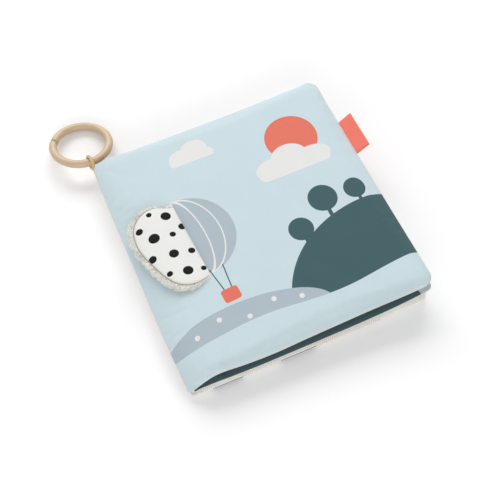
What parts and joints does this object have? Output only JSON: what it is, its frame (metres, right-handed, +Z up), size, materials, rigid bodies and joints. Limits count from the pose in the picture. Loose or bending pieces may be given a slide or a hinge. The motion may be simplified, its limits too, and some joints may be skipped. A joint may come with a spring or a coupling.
{
  "type": "tummy time book",
  "caption": "Soft cloth book with padded leaves sewn at the spine, a lift-up plush-backed flap, a folded ribbon tag and a split teething ring on a cord loop.",
  "frame": {"origin": "the middle of the back leaf's flat underside, on the surface that the book lies on", "axes": "+X from the spine to the fore edge, +Y from the bottom edge of the book to its top edge, +Z up through the leaves to the front cover"},
  "size_m": [0.2619, 0.2931, 0.0373],
  "materials": {
    "sky_cloth": "matt printed cotton",
    "teal_cloth": "matt printed cotton",
    "cream_cloth": "matt cotton",
    "dotted_cloth": "matt cotton with black polka dots",
    "plush": "short plush pile",
    "wadding": "polyester wadding",
    "crinkle_film": "thin crackling film",
    "coral_ribbon": "woven ribbon",
    "thread": "doubled sewing thread",
    "cord": "thin twisted cord",
    "ring_plastic": "satin moulded plastic"
  },
  "bodies": {
    "back_leaf": {"back_outer_cloth": "cream_cloth", "back_padding": "wadding", "back_inner_cloth": "cream_cloth", "spine_thread_lower": "thread", "loop_anchor": "cord"},
    "middle_leaf": {"middle_lower_cloth": "cream_cloth", "middle_padding": "wadding", "middle_upper_cloth": "teal_cloth", "spine_thread_upper": "thread"},
    "front_cover": {"cover_inner_cloth": "cream_cloth", "cover_crinkle_film": "crinkle_film", "cover_padding": "wadding", "cover_outer_cloth": "sky_cloth", "tag_ribbon": "coral_ribbon"},
    "flap": {"flap_plush": "plush", "flap_cloth": "dotted_cloth"},
    "loop": {"ring_loop": "cord"},
    "ring": {"split_ring": "ring_plastic"}
  },
  "joints": [
    {"name": "middle_leaf_turn", "type": "hinge", "parent": "back_leaf", "child": "middle_leaf", "pos_m": [-0.1108, 0, 0.00625], "axis": [0, -1, -0.0083], "range_deg": [0, 150]},
    {"name": "front_cover_turn", "type": "hinge", "parent": "middle_leaf", "child": "front_cover", "pos_m": [-0.1108, 0, 0.011], "axis": [0, -0.9997, -0.0236], "range_deg": [0, 120]},
    {"name": "flap_lift", "type": "hinge", "parent": "front_cover", "child": "flap", "pos_m": [-0.0594, 0.0033, 0.02893], "axis": [-0.0628, 0.998, -0.0029], "range_deg": [0, 150]},
    {"name": "loop_swing", "type": "hinge", "parent": "back_leaf", "child": "loop", "pos_m": [-0.1098, 0.1158, 0.0092], "axis": [1, 0, 0], "range_deg": [0, 12]},
    {"name": "ring_tilt", "type": "hinge", "parent": "loop", "child": "ring", "pos_m": [-0.11054, 0.1211, 0.0142], "axis": [0.9975, 0, -0.0712], "range_deg": [0, 90]}
  ]
}
